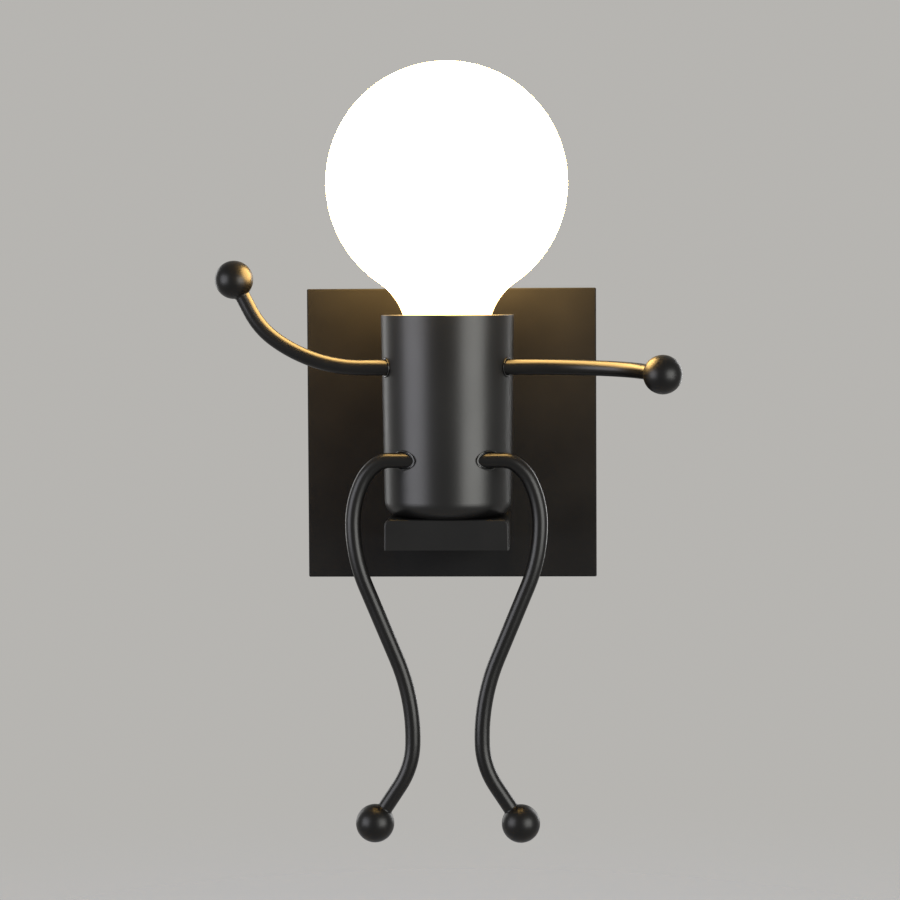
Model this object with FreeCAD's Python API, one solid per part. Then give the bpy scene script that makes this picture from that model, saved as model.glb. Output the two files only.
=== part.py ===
import FreeCAD, Part
import math
import os

# Robot wall light, millimetres. The wall is the plane y = 0, the front looks along -Y, +Z is up.
# The origin is the centre of the canopy's open back.

V = FreeCAD.Vector
X_AXIS = V(1, 0, 0)
Y_AXIS = V(0, 1, 0)
Z_AXIS = V(0, 0, 1)

# Canopy: the square pressed steel box on the wall
CANOPY_SIDE = 118.0
CANOPY_DEPTH = 22.0
CANOPY_SHEET = 1.2
CANOPY_CORNER_R = 0.6
CANOPY_SCREW_Y = -9.0

# Wall strap inside the canopy
STRAP_HEIGHT = 20.0
STRAP_SHEET = 1.5
STRAP_EAR_DEPTH = 15.0
STRAP_EAR_HEIGHT = 14.0
STRAP_HOLE_R = 7.0
TONGUE_HALF_WIDTH = 9.0
TONGUE_TOP_Z = 40.0
WALL_SLOT_PITCH = 76.0
WALL_SLOT_LENGTH = 12.0
WALL_SLOT_R = 2.25
EARTH_X = 24.0

# Terminal block on the strap's tongue
BLOCK_WIDTH = 30.0
BLOCK_HEIGHT = 17.0
BLOCK_DEPTH = 13.0
BLOCK_BOTTOM_Z = 20.0
WAY_PITCH = 9.5
WAY_R = 2.6
WAY_BORE_R = 1.9
WAY_Y = -8.0

# Body axis and heights
AXIS_Y = -60.0
RIM_Z = 48.5
CUP_HEIGHT = 79.5
CUP_RIM_R = 26.25
CUP_FOOT_R = 25.2
CUP_SHEET = 1.2
CUP_FOOT_FILLET = 6.5
CUP_RIM_ROUND = 0.35

# Seat: the folded steel box that carries the cup
SEAT_WIDTH = 48.6
SEAT_HEIGHT = 12.0
SEAT_FRONT = 19.5
SEAT_SHEET = 1.5
SEAT_CORNER_R = 2.4
SEAT_SPREAD = 0.15
SEAT_COVER_SHEET = 1.2
SEAT_FRONT_ROUND = 0.7
SEAT_SCREW_X = 16.0
SEAT_SCREW_HOLE_R = 2.2
SEAT_HOLE_Z = -37.2
LEAD_HOLE_R = 4.2
POST_R = 3.0
POST_X = 17.0
POST_FORWARD = 9.0

# Hollow threaded nipple and its nuts
NIPPLE_R = 5.0
NIPPLE_BORE_R = 3.9
NIPPLE_TOP_Z = -14.0
NIPPLE_END_Z = -36.2
NIPPLE_WASHER_R = 8.5
NIPPLE_WASHER_T = 0.8
NIPPLE_NUT_T = 2.5
NIPPLE_NUT_FLATS = 14.0

# Lampholder
HOLDER_TOP_Z = 36.5
HOLDER_R = 18.0
HOLDER_WALL = 2.0
HOLDER_MOUTH_R = 13.9
HOLDER_SPLIT_Z = 5.0
SHELL_R = 13.75
SHELL_SHEET = 0.4
SHELL_BOTTOM_Z = 8.0
CORE_R = 15.8
CORE_BOTTOM_Z = -1.0
CORE_POCKET_Z = 5.5
CAP_WAIST_R = 13.8
CAP_BOSS_R = 9.0
CAP_FLOOR_Z = -13.0
CAP_BOTTOM_Z = -20.0
HOLDER_TERMINAL_X = 6.0

# Bulb: globe of 95 mm on a 27 mm screw cap
GLOBE_R = 47.5
GLOBE_Z = 100.3
NECK_CURVE_R = 24.0
NECK_R = 16.5
GLASS_T = 1.0
BULB_CAP_R = 13.05
BULB_CAP_SHEET = 0.35
BULB_CAP_TOP_Z = 38.0
BULB_CAP_BOTTOM_Z = 14.0
BULB_TIP_Z = 8.5
FILAMENT_COUNT = 6
FILAMENT_R = 1.0
FILAMENT_LOW_R = 7.0
FILAMENT_HIGH_R = 13.0
FILAMENT_DROP = 24.0
FILAMENT_RISE = 12.0
FILAMENT_LEAN = 0.35
FILAMENT_WIRE_R = 0.25

# Limbs: bent rods with ball ends
ROD_R = 3.0
BALL_R = 7.5
BALL_SOCKET_DEPTH = 6.0
SPIGOT_R = 2.5
FIT_GAP = 0.05
BUSH_R = 4.2
LIMB_WASHER_T = 0.5
LIMB_CLIP_T = 0.6
LIMB_CLIP_R = 3.9
CLIP_GROOVE_R = 2.1
SPIGOT_TAIL = 0.7
ARM_Z = 28.0
ARM_FORWARD = 10.0
ARM_SHOULDER_X = 21.3
ARM_BUSH_X = 19.2
RIGHT_ARM_TURN = 93.7
LEG_Z = -7.9
LEG_FORWARD = 19.0
LEG_SHOULDER_X = 9.5
LEG_BUSH_X = 7.0

# Internal leads
LEAD_R = 0.9
LEAD_SIDE = 1.0
LEAD_FRONT = 2.2
LEAD_RUN_Z = -38.0

INNER_Y = -CANOPY_DEPTH + CANOPY_SHEET
HALF_SIDE = CANOPY_SIDE / 2
INNER_X = HALF_SIDE - CANOPY_SHEET
CUP_FLOOR_Z = RIM_Z - CUP_HEIGHT
SEAT_BOTTOM_Z = CUP_FLOOR_Z - SEAT_HEIGHT
SEAT_FRONT_Y = AXIS_Y - SEAT_FRONT


# Basic shapes

def box(x0, x1, y0, y1, z0, z1):
    return Part.makeBox(x1 - x0, y1 - y0, z1 - z0, V(x0, y0, z0))


def rod_between(start, end, radius):
    run = end - start
    return Part.makeCylinder(radius, run.Length, start, run)


def tube_between(start, end, outer, inner):
    return rod_between(start, end, outer).cut(rod_between(start, end, inner))


def body_axis(z):
    return V(0, AXIS_Y, z)


def turned(profile):
    """A solid turned about the body axis from (radius, height) points and arc middles.

    Each entry is (radius, height), or (radius, height, middle_radius, middle_height) for
    an arc that ends there.
    """
    edges = []
    points = [V(entry[0], AXIS_Y, entry[1]) for entry in profile]
    for number, entry in enumerate(profile):
        before = points[number - 1]
        here = points[number]
        if len(entry) == 4:
            edges.append(Part.Arc(before, V(entry[2], AXIS_Y, entry[3]), here).toShape())
        else:
            edges.append(Part.LineSegment(before, here).toShape())
    face = Part.Face(Part.Wire(edges[1:] + edges[:1]))
    return face.revolve(body_axis(0), Z_AXIS, 360)


def ring(outer, inner, z0, z1):
    return tube_between(body_axis(z0), body_axis(z1), outer, inner)


def hexagon(flats, centre, axis, thickness):
    """A hexagonal prism that starts at centre and grows along axis."""
    corner_r = flats / math.sqrt(3)
    corners = []
    for number in range(7):
        turn = math.radians(60 * number)
        corners.append(V(corner_r * math.cos(turn), corner_r * math.sin(turn), 0))
    prism = Part.Face(Part.makePolygon(corners)).extrude(V(0, 0, thickness))
    prism.Placement = FreeCAD.Placement(centre, FreeCAD.Rotation(Z_AXIS, axis))
    return prism


def hex_nut(flats, bore, centre, axis, thickness):
    nut = hexagon(flats, centre, axis, thickness)
    chamfer_r = flats / math.sqrt(3) - 0.25
    envelope = Part.makeCylinder(chamfer_r, thickness, centre, axis)
    return nut.common(envelope).cut(Part.makeCylinder(bore, thickness, centre, axis))


def pan_screw(head_r, head_t, shank_r, length, under_head, axis):
    """A pan-head screw: the shank runs along axis from under_head, the head stands behind it."""
    head = Part.makeCylinder(head_r, head_t, under_head, axis * -1)
    rim = [edge for edge in head.Edges if abs(edge.Length - 2 * math.pi * head_r) < 0.01]
    far_rim = [edge for edge in rim if (edge.CenterOfMass - under_head).Length > head_t / 2]
    head = head.makeFillet(head_t * 0.45, far_rim)
    slot = Part.makeBox(head_r * 2.2, head_r * 0.3, head_t, V(-head_r * 1.1, -head_r * 0.15, 0))
    slot.Placement = FreeCAD.Placement(under_head - axis * (head_t * 1.55),
                                       FreeCAD.Rotation(Z_AXIS, axis)).multiply(slot.Placement)
    shank = Part.makeCylinder(shank_r, length, under_head, axis)
    return head.cut(slot).fuse(shank).removeSplitter()


def flush_screw(head_r, shank_r, length, face_point, axis):
    """A countersunk screw whose flat head ends at face_point, with its shank along axis."""
    cone_t = head_r - shank_r
    head = Part.makeCone(head_r, shank_r, cone_t, face_point, axis)
    shank = Part.makeCylinder(shank_r, length - cone_t, face_point + axis * cone_t, axis)
    return head.fuse(shank).removeSplitter()


def tangent_path(points):
    """A wire of straight runs joined by tangent arcs, and the radii of those arcs."""
    edges = []
    radii = []
    cursor = points[0]
    for before, corner, after in zip(points, points[1:], points[2:]):
        into = (corner - before).normalize()
        out = (after - corner).normalize()
        half_turn = into.getAngle(out) / 2
        shorter = min((corner - before).Length, (after - corner).Length)
        setback = 0.45 * shorter
        radius = setback / math.tan(half_turn)
        arc_start = corner - into * setback
        arc_end = corner + out * setback
        to_centre = (out - into).normalize()
        centre = corner + to_centre * (radius / math.cos(half_turn))
        middle = centre - to_centre * radius
        edges.append(Part.LineSegment(cursor, arc_start).toShape())
        edges.append(Part.Arc(arc_start, middle, arc_end).toShape())
        radii.append(round(radius, 2))
        cursor = arc_end
    edges.append(Part.LineSegment(cursor, points[-1]).toShape())
    return Part.Wire(edges), radii


def walked_path(start, heading, side, moves):
    """A flat wire walked from start: ("run", length) or ("bend", radius, degrees towards side)."""
    edges = []
    place = start
    ahead = V(heading)
    left = V(side)
    for move in moves:
        if move[0] == "run":
            after = place + ahead * move[1]
            edges.append(Part.LineSegment(place, after).toShape())
        else:
            radius = move[1]
            turn = math.radians(move[2])
            towards = left if turn > 0 else left * -1
            centre = place + towards * radius
            bend = abs(turn)
            halfway = centre + (ahead * math.sin(bend / 2) - towards * math.cos(bend / 2)) * radius
            after = centre + (ahead * math.sin(bend) - towards * math.cos(bend)) * radius
            edges.append(Part.Arc(place, halfway, after).toShape())
            new_ahead = ahead * math.cos(turn) + left * math.sin(turn)
            left = left * math.cos(turn) - ahead * math.sin(turn)
            ahead = new_ahead
        place = after
    return Part.Wire(edges), place, ahead


def swept(path, start, heading, radius):
    section = Part.Wire([Part.makeCircle(radius, start, heading)])
    return path.makePipeShell([section], True, False)


# Canopy and wall fixing

def canopy():
    shell = box(-HALF_SIDE, HALF_SIDE, -CANOPY_DEPTH, 0, -HALF_SIDE, HALF_SIDE)
    rounded = [edge for edge in shell.Edges if edge.CenterOfMass.y < -0.1]
    shell = shell.makeFillet(CANOPY_CORNER_R, rounded)
    shell = shell.cut(box(-INNER_X, INNER_X, INNER_Y, 1, -INNER_X, INNER_X))
    lead_hole = Part.makeCylinder(LEAD_HOLE_R, 4, V(0, -CANOPY_DEPTH - 1, SEAT_HOLE_Z), Y_AXIS)
    shell = shell.cut(lead_hole)
    for side in (-1, 1):
        seat_hole = Part.makeCylinder(SEAT_SCREW_HOLE_R, 4, V(side * SEAT_SCREW_X, -CANOPY_DEPTH - 1, SEAT_HOLE_Z),
                                      Y_AXIS)
        inward = V(-side, 0, 0)
        sink = Part.makeCone(3.6, 2.1, 1.5, V(side * HALF_SIDE, CANOPY_SCREW_Y, 0), inward)
        shell = shell.cut(seat_hole).cut(sink)
    return shell


def canopy_screws():
    screws = []
    for side in (-1, 1):
        face_point = V(side * (HALF_SIDE - 0.1), CANOPY_SCREW_Y, 0)
        screws.append(flush_screw(3.0, 2.0, 8.0, face_point, V(-side, 0, 0)))
    return screws


def wall_strap():
    flat = box(-INNER_X, INNER_X, -STRAP_SHEET, 0, -STRAP_HEIGHT / 2, STRAP_HEIGHT / 2)
    tongue = box(-TONGUE_HALF_WIDTH, TONGUE_HALF_WIDTH, -STRAP_SHEET, 0, 0, TONGUE_TOP_Z)
    strap = flat.fuse(tongue)
    for side in (-1, 1):
        outer = side * INNER_X
        inner = side * (INNER_X - STRAP_SHEET)
        half = STRAP_EAR_HEIGHT / 2
        ear = box(min(outer, inner), max(outer, inner), -STRAP_EAR_DEPTH, 0, -half, half)
        corners = [edge for edge in ear.Edges
                   if edge.CenterOfMass.y < -STRAP_EAR_DEPTH + 0.1 and abs(edge.CenterOfMass.z) > half - 0.1]
        strap = strap.fuse(ear.makeFillet(3.0, corners))
    strap = strap.removeSplitter()
    strap = strap.cut(Part.makeCylinder(STRAP_HOLE_R, 4, V(0, -3, 0), Y_AXIS))
    straight = (WALL_SLOT_LENGTH - 2 * WALL_SLOT_R) / 2
    for side in (-1, 1):
        middle = side * WALL_SLOT_PITCH / 2
        slot = box(middle - straight, middle + straight, -3, 1, -WALL_SLOT_R, WALL_SLOT_R)
        for end in (-straight, straight):
            slot = slot.fuse(Part.makeCylinder(WALL_SLOT_R, 4, V(middle + end, -3, 0), Y_AXIS))
        strap = strap.cut(slot)
        thread = Part.makeCylinder(2.0, 4, V(side * (INNER_X - 3), CANOPY_SCREW_Y, 0), V(side, 0, 0))
        strap = strap.cut(thread)
    strap = strap.cut(Part.makeCylinder(2.0, 4, V(EARTH_X, -3, 0), Y_AXIS))
    for side in (-1, 1):
        strap = strap.cut(Part.makeCylinder(1.5, 4, V(side * WAY_PITCH / 2, -3, block_middle_z()), Y_AXIS))
    return strap


# Earth screw, its ring and the terminal block

def earth_ring():
    seat_y = -STRAP_SHEET
    flat = Part.makeCylinder(4.2, 0.8, V(EARTH_X, seat_y, 0), Y_AXIS * -1)
    neck = box(EARTH_X - 1.6, EARTH_X + 1.6, seat_y - 0.8, seat_y, -6.5, 0)
    barrel = tube_between(V(EARTH_X, -3.1, -10.5), V(EARTH_X, -3.1, -5.5), 1.5, LEAD_R)
    joined = flat.fuse(neck).cut(Part.makeCylinder(2.1, 2, V(EARTH_X, seat_y, 0), Y_AXIS * -1))
    bore = rod_between(V(EARTH_X, -3.1, -10.6), V(EARTH_X, -3.1, -5.4), LEAD_R)
    return joined.fuse(barrel).cut(bore).removeSplitter()


def earth_screw():
    return pan_screw(3.6, 2.4, 2.0, 2.3, V(EARTH_X, -STRAP_SHEET - 0.8, 0), Y_AXIS)


def block_middle_z():
    return BLOCK_BOTTOM_Z + BLOCK_HEIGHT / 2


def way_places():
    return [-WAY_PITCH, 0, WAY_PITCH]


def terminal_block():
    half = BLOCK_WIDTH / 2
    back = -STRAP_SHEET
    top_z = BLOCK_BOTTOM_Z + BLOCK_HEIGHT
    block = box(-half, half, back - BLOCK_DEPTH * 0.62, back, BLOCK_BOTTOM_Z, top_z)
    for x in way_places():
        tower = box(x - 3.4, x + 3.4, back - BLOCK_DEPTH, back, BLOCK_BOTTOM_Z, top_z)
        tall = [edge for edge in tower.Edges
                if edge.CenterOfMass.y < back - BLOCK_DEPTH + 0.1 and abs(edge.CenterOfMass.x - x) > 3.3]
        block = block.fuse(tower.makeFillet(1.2, tall))
    block = block.removeSplitter()
    for x in way_places():
        block = block.cut(rod_between(V(x, WAY_Y, BLOCK_BOTTOM_Z - 1), V(x, WAY_Y, top_z + 1), WAY_R))
        for z in (block_middle_z() - 4, block_middle_z() + 4):
            block = block.cut(Part.makeCylinder(1.7, BLOCK_DEPTH, V(x, WAY_Y, z), Y_AXIS * -1))
    for side in (-1, 1):
        block = block.cut(Part.makeCylinder(1.6, 20, V(side * WAY_PITCH / 2, 1, block_middle_z()), Y_AXIS * -1))
    return block


def terminal_clamps():
    clamps = []
    for x in way_places():
        low = V(x, WAY_Y, BLOCK_BOTTOM_Z + 1)
        high = V(x, WAY_Y, BLOCK_BOTTOM_Z + BLOCK_HEIGHT - 1)
        clamp = tube_between(low, high, WAY_R, WAY_BORE_R)
        for z in (block_middle_z() - 4, block_middle_z() + 4):
            clamp = clamp.cut(Part.makeCylinder(1.45, 5, V(x, WAY_Y, z), Y_AXIS * -1))
        clamps.append(clamp)
    return clamps


def terminal_screws():
    screws = []
    for x in way_places():
        for z in (block_middle_z() - 4, block_middle_z() + 4):
            tip = V(x, WAY_Y - 1.05, z)
            screw = Part.makeCylinder(1.4, 3.9, tip, Y_AXIS * -1)
            slot = box(x - 2, x + 2, tip.y - 4.1, tip.y - 3.1, z - 0.25, z + 0.25)
            screws.append(screw.cut(slot))
    return screws


def block_screws():
    seat_y = -STRAP_SHEET - BLOCK_DEPTH * 0.62
    places = [V(side * WAY_PITCH / 2, seat_y, block_middle_z()) for side in (-1, 1)]
    return [Part.makeCylinder(1.3, 9.4, place, Y_AXIS).fuse(
        Part.makeCylinder(1.3, 1.6, place, Y_AXIS * -1)) for place in places]


# Seat

def seat_section(y, inset):
    """The seat's cross-section: a box with rounded top corners whose sides spread a little."""
    half_top = SEAT_WIDTH / 2 - SEAT_SPREAD - inset
    half_bottom = SEAT_WIDTH / 2 - inset
    top = CUP_FLOOR_Z - inset
    bottom = SEAT_BOTTOM_Z
    radius = SEAT_CORNER_R - inset
    lean = math.atan2(half_bottom - half_top, top - bottom)
    setback = radius * math.tan((math.pi / 2 - lean) / 2)
    along_x = math.sin(lean) * setback
    along_z = math.cos(lean) * setback
    half_turn = (math.pi / 2 - lean) / 2
    middle_x = half_top - setback + radius * math.sin(half_turn)
    middle_z = top - radius + radius * math.cos(half_turn)
    edges = []
    right_top = V(half_top - setback, y, top)
    right_side = V(half_top + along_x, y, top - along_z)
    left_top = V(-right_top.x, y, top)
    left_side = V(-right_side.x, y, right_side.z)
    right_foot = V(half_bottom, y, bottom)
    left_foot = V(-half_bottom, y, bottom)
    edges.append(Part.LineSegment(left_top, right_top).toShape())
    edges.append(Part.Arc(right_top, V(middle_x, y, middle_z), right_side).toShape())
    edges.append(Part.LineSegment(right_side, right_foot).toShape())
    edges.append(Part.LineSegment(right_foot, left_foot).toShape())
    edges.append(Part.LineSegment(left_foot, left_side).toShape())
    edges.append(Part.Arc(left_side, V(-middle_x, y, middle_z), left_top).toShape())
    return Part.Face(Part.Wire(edges))


def post_places():
    return [(side * POST_X, AXIS_Y - POST_FORWARD) for side in (-1, 1)]


def seat_bracket():
    length = -CANOPY_DEPTH - SEAT_FRONT_Y
    outer = seat_section(SEAT_FRONT_Y, 0).extrude(V(0, length, 0))
    inner = seat_section(SEAT_FRONT_Y + SEAT_SHEET, SEAT_SHEET).extrude(V(0, length - 2 * SEAT_SHEET, 0))
    front_rim = [edge for edge in outer.Edges
                 if abs(edge.CenterOfMass.y - SEAT_FRONT_Y) < 0.01 and edge.CenterOfMass.z > SEAT_BOTTOM_Z + 0.1]
    shell = outer.makeFillet(SEAT_FRONT_ROUND, front_rim).cut(inner)
    for x, y in post_places():
        post = Part.makeCylinder(POST_R, 20, V(x, y, SEAT_BOTTOM_Z + SEAT_COVER_SHEET), Z_AXIS)
        shell = shell.fuse(post.common(inner))
    shell = shell.removeSplitter()
    shell = shell.cut(Part.makeCylinder(NIPPLE_R + 0.15, 6, body_axis(CUP_FLOOR_Z - 4), Z_AXIS))
    shell = shell.cut(Part.makeCylinder(LEAD_HOLE_R, 6, V(0, -CANOPY_DEPTH - 4, SEAT_HOLE_Z), Y_AXIS))
    for side in (-1, 1):
        place = V(side * SEAT_SCREW_X, -CANOPY_DEPTH - 4, SEAT_HOLE_Z)
        shell = shell.cut(Part.makeCylinder(SEAT_SCREW_HOLE_R, 6, place, Y_AXIS))
    for x, y in post_places():
        shell = shell.cut(Part.makeCylinder(1.5, 8, V(x, y, SEAT_BOTTOM_Z), Z_AXIS))
    return shell


def seat_cover():
    top_z = SEAT_BOTTOM_Z + SEAT_COVER_SHEET
    half = SEAT_WIDTH / 2 - SEAT_SHEET - 0.25
    plate = box(-half, half, SEAT_FRONT_Y + SEAT_SHEET + 0.2, -CANOPY_DEPTH - SEAT_SHEET - 0.2,
                SEAT_BOTTOM_Z, top_z)
    upright = [edge for edge in plate.Edges if abs(edge.tangentAt(edge.FirstParameter).z) > 0.9]
    plate = plate.makeFillet(1.0, upright)
    for x, y in post_places():
        plate = plate.cut(Part.makeCone(3.1, 1.6, 1.5, V(x, y, SEAT_BOTTOM_Z - 0.05), Z_AXIS))
    return plate


def seat_cover_screws():
    return [flush_screw(2.5, 1.5, 6.5, V(x, y, SEAT_BOTTOM_Z + 0.1), Z_AXIS) for x, y in post_places()]


def seat_screws():
    return [pan_screw(3.5, 2.4, 2.0, 8.0, V(side * SEAT_SCREW_X, INNER_Y, SEAT_HOLE_Z), Y_AXIS * -1)
            for side in (-1, 1)]


def seat_nuts():
    nut_y = -CANOPY_DEPTH - SEAT_SHEET
    return [hex_nut(7.0, 2.0, V(side * SEAT_SCREW_X, nut_y, SEAT_HOLE_Z), Y_AXIS * -1, 3.2)
            for side in (-1, 1)]


def lead_grommet():
    """Rubber ring with a groove that grips the canopy front and the seat's back wall."""
    lip = 1.2
    back = INNER_Y
    front = -CANOPY_DEPTH - SEAT_SHEET

    def at(y):
        return V(0, y, SEAT_HOLE_Z)
    sleeve = rod_between(at(front), at(back), LEAD_HOLE_R)
    front_flange = rod_between(at(front - lip), at(front), LEAD_HOLE_R + 0.3)
    back_flange = rod_between(at(back), at(back + lip), LEAD_HOLE_R + 2.2)
    bore = rod_between(at(front - 2 * lip), at(back + 2 * lip), LEAD_HOLE_R - 1.2)
    return sleeve.fuse([front_flange, back_flange]).cut(bore)


# Nipple and its nuts

def nipple():
    return ring(NIPPLE_R, NIPPLE_BORE_R, NIPPLE_END_Z, NIPPLE_TOP_Z)


def washer_and_nut(seat_z, direction):
    """The plain washer and hexagon nut that pull one side of the sheet stack together."""
    washer_end = seat_z + direction * NIPPLE_WASHER_T
    low = min(seat_z, washer_end)
    washer = ring(NIPPLE_WASHER_R, NIPPLE_R + 0.15, low, low + NIPPLE_WASHER_T)
    nut = hex_nut(NIPPLE_NUT_FLATS, NIPPLE_R, body_axis(washer_end), Z_AXIS * direction, NIPPLE_NUT_T)
    return washer, nut


def toothed_washer(seat_z):
    """Lock washer with a ring of outward teeth."""
    washer = ring(NIPPLE_WASHER_R - 1.2, NIPPLE_R + 0.15, seat_z, seat_z + NIPPLE_WASHER_T)
    for number in range(12):
        tooth = box(NIPPLE_WASHER_R - 2.0, NIPPLE_WASHER_R, AXIS_Y - 0.7, AXIS_Y + 0.7,
                    seat_z, seat_z + NIPPLE_WASHER_T)
        tooth.rotate(body_axis(0), Z_AXIS, 30 * number)
        washer = washer.fuse(tooth)
    return washer.removeSplitter()


# Cup

def cup_skin(inset, floor_z, top_z, top_r, fillet):
    """Solid body of revolution bounded by the cup's wall, moved in by inset."""
    foot_r = CUP_FOOT_R - inset
    bend = fillet * (1 - math.sqrt(0.5))
    return turned([(0, floor_z), (foot_r - fillet, floor_z),
                   (foot_r, floor_z + fillet, foot_r - bend, floor_z + bend),
                   (top_r, top_z), (0, top_z)])


def cup_hollow():
    return cup_skin(CUP_SHEET, CUP_FLOOR_Z + CUP_SHEET, RIM_Z + 1, CUP_RIM_R - CUP_SHEET,
                    CUP_FOOT_FILLET - CUP_SHEET)


def cup():
    outer = cup_skin(0, CUP_FLOOR_Z, RIM_Z, CUP_RIM_R, CUP_FOOT_FILLET)
    shell = outer.cut(cup_hollow())
    rim = [edge for edge in shell.Edges if edge.CenterOfMass.z > RIM_Z - 0.01]
    shell = shell.makeFillet(CUP_RIM_ROUND, rim)
    shell = shell.cut(Part.makeCylinder(NIPPLE_R + 0.15, 6, body_axis(CUP_FLOOR_Z - 2), Z_AXIS))
    for side in (-1, 1):
        for forward, height in ((ARM_FORWARD, ARM_Z), (LEG_FORWARD, LEG_Z)):
            hole = Part.makeCylinder(ROD_R + FIT_GAP, 40, V(0, AXIS_Y - forward, height), V(side, 0, 0))
            shell = shell.cut(hole)
    return shell


# Lampholder

def holder_skirt():
    inner = HOLDER_R - HOLDER_WALL
    return turned([(inner, HOLDER_SPLIT_Z), (HOLDER_R, HOLDER_SPLIT_Z), (HOLDER_R, HOLDER_TOP_Z - 1.2),
                   (HOLDER_R - 1.2, HOLDER_TOP_Z, HOLDER_R - 0.35, HOLDER_TOP_Z - 0.35),
                   (HOLDER_MOUTH_R + 0.6, HOLDER_TOP_Z), (HOLDER_MOUTH_R, HOLDER_TOP_Z - 0.8),
                   (HOLDER_MOUTH_R, HOLDER_TOP_Z - 2.2), (inner, HOLDER_TOP_Z - 2.2)])


def holder_cap():
    inner = HOLDER_R - HOLDER_WALL
    waist = CAP_WAIST_R - HOLDER_WALL
    return turned([(inner, HOLDER_SPLIT_Z), (inner, CORE_BOTTOM_Z + 3), (waist, CORE_BOTTOM_Z - 2.2),
                   (waist, CAP_FLOOR_Z + 3.5), (7.5, CAP_FLOOR_Z), (NIPPLE_R, CAP_FLOOR_Z),
                   (NIPPLE_R, CAP_BOTTOM_Z), (CAP_BOSS_R, CAP_BOTTOM_Z), (CAP_BOSS_R, CAP_FLOOR_Z - 1),
                   (CAP_WAIST_R, CAP_FLOOR_Z + 4), (CAP_WAIST_R, CORE_BOTTOM_Z - 3),
                   (HOLDER_R, CORE_BOTTOM_Z + 2), (HOLDER_R, HOLDER_SPLIT_Z)])


def holder_core():
    foot_t = 3.2
    disc_z = CORE_BOTTOM_Z + foot_t
    core = Part.makeCylinder(CORE_R, SHELL_BOTTOM_Z - disc_z, body_axis(disc_z), Z_AXIS)
    foot = Part.makeCylinder(11.2, foot_t, body_axis(CORE_BOTTOM_Z), Z_AXIS)
    pocket = Part.makeCylinder(13.0, 5, body_axis(CORE_POCKET_Z), Z_AXIS)
    core = core.fuse(foot).removeSplitter().cut(pocket)
    for side in (-1, 1):
        core = core.cut(Part.makeCylinder(1.5, 12, V(side * HOLDER_TERMINAL_X, AXIS_Y, CORE_BOTTOM_Z - 1), Z_AXIS))
    return core


def screw_shell():
    top_z = HOLDER_TOP_Z - 2.4
    return turned([(SHELL_R - SHELL_SHEET, SHELL_BOTTOM_Z), (CORE_R - 0.3, SHELL_BOTTOM_Z),
                   (CORE_R - 0.3, SHELL_BOTTOM_Z + SHELL_SHEET), (SHELL_R, SHELL_BOTTOM_Z + SHELL_SHEET),
                   (SHELL_R, top_z), (SHELL_R - SHELL_SHEET, top_z)])


def centre_contact():
    """Brass spring tongue: a foot on the core, a rise and a flat tip under the bulb."""
    t = 0.5
    half = 2.5
    base = CORE_POCKET_Z
    tip = BULB_TIP_Z
    outline = [V(-9.5, AXIS_Y - half, base), V(-4, AXIS_Y - half, base), V(1.5, AXIS_Y - half, tip - t),
               V(3.5, AXIS_Y - half, tip - t), V(3.5, AXIS_Y - half, tip), V(-1.6, AXIS_Y - half, tip),
               V(-5.6, AXIS_Y - half, base + t), V(-9.5, AXIS_Y - half, base + t),
               V(-9.5, AXIS_Y - half, base)]
    return Part.Face(Part.makePolygon(outline)).extrude(V(0, 2 * half, 0))


def holder_terminals():
    blocks = []
    for side in (-1, 1):
        middle = side * HOLDER_TERMINAL_X
        block = box(middle - 2.5, middle + 2.5, AXIS_Y - 3, AXIS_Y + 3, CORE_BOTTOM_Z - 4, CORE_BOTTOM_Z)
        bore = Part.makeCylinder(LEAD_R, 6, V(middle, AXIS_Y, CORE_BOTTOM_Z - 5), Z_AXIS)
        blocks.append(block.cut(bore))
    return blocks


def holder_terminal_screws():
    screws = []
    for side in (-1, 1):
        place = V(side * (HOLDER_TERMINAL_X + 2.5), AXIS_Y, CORE_BOTTOM_Z - 2)
        screws.append(Part.makeCylinder(1.2, 1.4, place, V(side, 0, 0)))
    return screws


# Bulb

def neck_curve(inset):
    """Where the neck's hollow curve meets the globe and the neck, and a point on it."""
    curve_r = NECK_CURVE_R + inset
    globe_r = GLOBE_R - inset
    centre_r = NECK_R - inset + curve_r
    drop = math.sqrt((globe_r + curve_r) ** 2 - centre_r ** 2)
    centre_z = GLOBE_Z - drop
    share = globe_r / (globe_r + curve_r)
    on_globe = (centre_r * share, GLOBE_Z - drop * share)
    start = math.atan2(on_globe[1] - centre_z, on_globe[0] - centre_r)
    middle_turn = (start + math.pi) / 2
    middle = (centre_r + curve_r * math.cos(middle_turn), centre_z + curve_r * math.sin(middle_turn))
    return on_globe, middle, (NECK_R - inset, centre_z)


def globe_solid(inset, foot_z):
    on_globe, middle, on_neck = neck_curve(inset)
    globe_r = GLOBE_R - inset
    top = GLOBE_Z + globe_r
    side_turn = (math.pi / 2 + math.atan2(on_globe[1] - GLOBE_Z, on_globe[0])) / 2
    side = (globe_r * math.cos(side_turn), GLOBE_Z + globe_r * math.sin(side_turn))
    foot_r = BULB_CAP_R - BULB_CAP_SHEET - inset
    shoulder_z = BULB_CAP_TOP_Z + 0.2
    return turned([(0, foot_z), (foot_r, foot_z), (foot_r, shoulder_z), (foot_r + 0.9, shoulder_z + 0.6),
                   (on_neck[0], on_neck[1]),
                   (on_globe[0], on_globe[1], middle[0], middle[1]),
                   (0, top, side[0], side[1])])


def bulb_glass():
    return globe_solid(0, BULB_CAP_TOP_Z - 3).cut(globe_solid(GLASS_T, BULB_CAP_TOP_Z - 4))


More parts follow.
